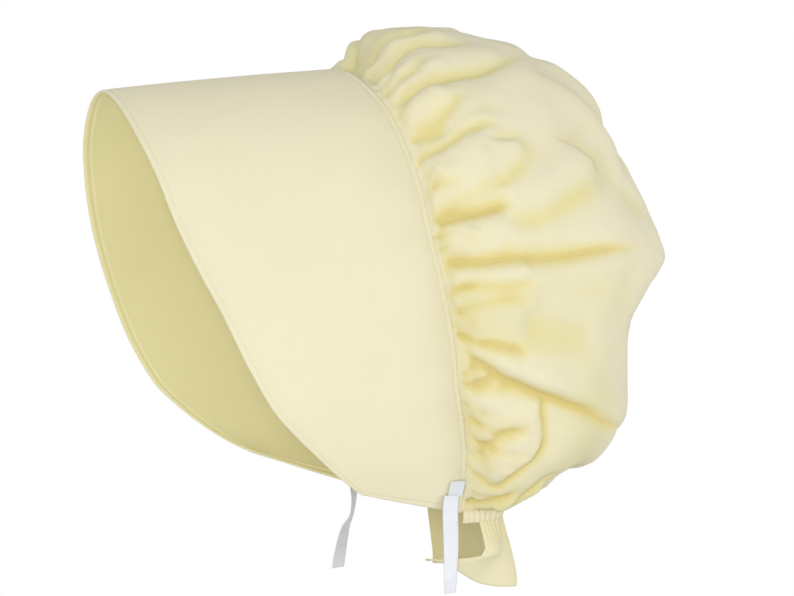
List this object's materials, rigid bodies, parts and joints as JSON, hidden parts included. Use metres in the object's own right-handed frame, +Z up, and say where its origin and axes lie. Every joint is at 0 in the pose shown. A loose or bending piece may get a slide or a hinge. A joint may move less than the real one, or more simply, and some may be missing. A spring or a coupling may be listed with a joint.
{
  "type": "prairie bonnet",
  "caption": "Cotton prairie bonnet with a deep stiff brim, a full gathered crown, a drawn nape casing, a short neck ruffle and narrow ribbon ties.",
  "frame": {"origin": "head seat: the inner face of the cloth under the top of the seam between brim and crown", "axes": "+Z up, the face opening towards -Y, the wearer's left at +X"},
  "size_m": [0.235, 0.3417, 0.3292],
  "materials": {
    "cotton": "plain weave",
    "satin_ribbon": "satin"
  },
  "bodies": {
    "root": {"brim": "cotton", "crown": "cotton", "nape_casing": "cotton", "neck_ruffle": "cotton", "tie_left": "satin_ribbon", "tie_right": "satin_ribbon"}
  },
  "joints": []
}
